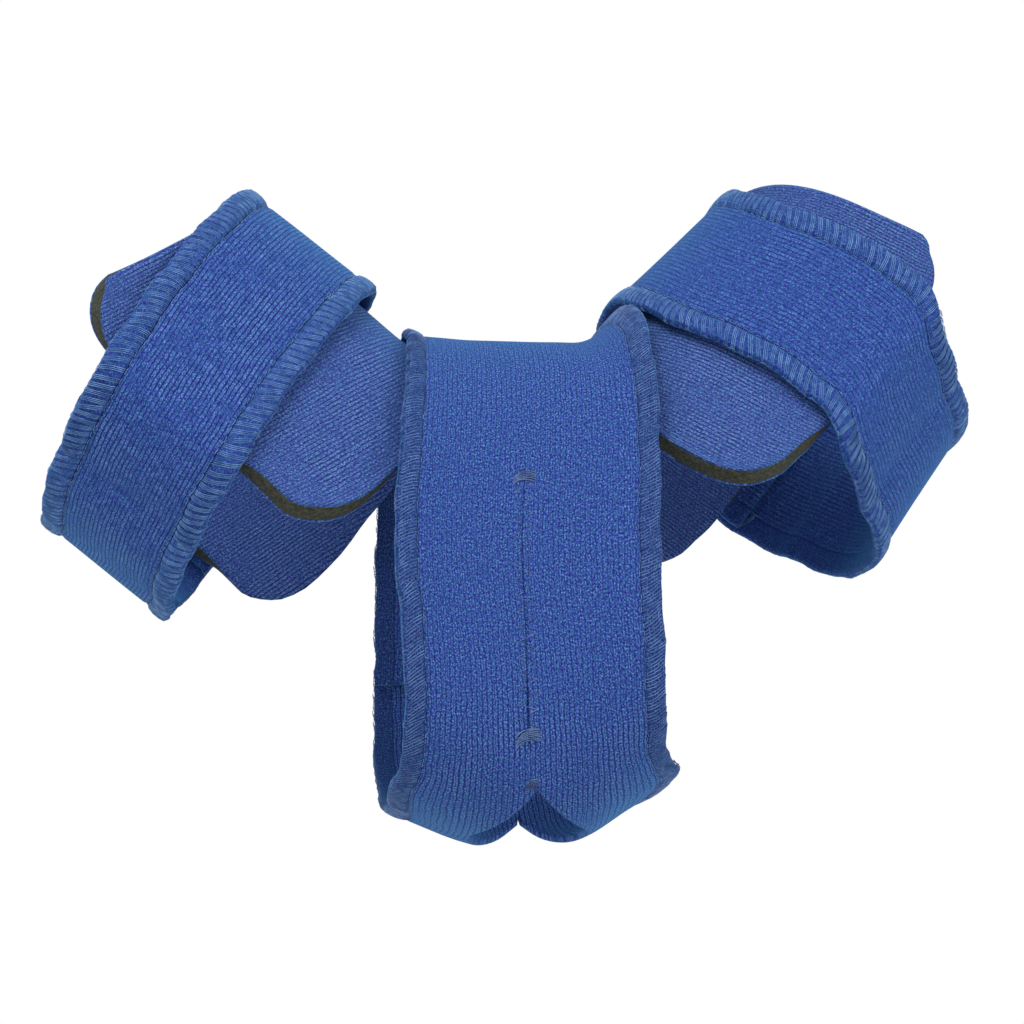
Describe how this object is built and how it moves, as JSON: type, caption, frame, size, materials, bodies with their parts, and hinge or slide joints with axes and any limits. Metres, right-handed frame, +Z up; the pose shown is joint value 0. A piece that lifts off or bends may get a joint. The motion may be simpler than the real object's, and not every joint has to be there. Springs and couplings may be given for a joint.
{
  "type": "elbow brace",
  "caption": "Soft elbow brace on a bent form: a foam pad in the crook, held by wrap straps round the upper arm, elbow and forearm.",
  "frame": {"origin": "middle of the elbow, inside the elbow strap, where the arm holds the brace", "axes": "+Z up from the point of the elbow to its crook, +X towards the forearm, -Y towards the near side"},
  "size_m": [0.2829, 0.1312, 0.2059],
  "materials": {
    "strap_cloth": "matte",
    "pad_cloth": "matte",
    "foam": "matte",
    "hook": "matte"
  },
  "bodies": {
    "root": {"pad_lining": "pad_cloth", "pad_foam": "foam", "pad_face": "pad_cloth", "upper_arm_strap": "strap_cloth", "forearm_strap": "strap_cloth", "elbow_strap": "strap_cloth", "upper_arm_hook_tab": "hook", "forearm_hook_tab": "hook", "elbow_hook_tab": "hook"}
  },
  "joints": []
}
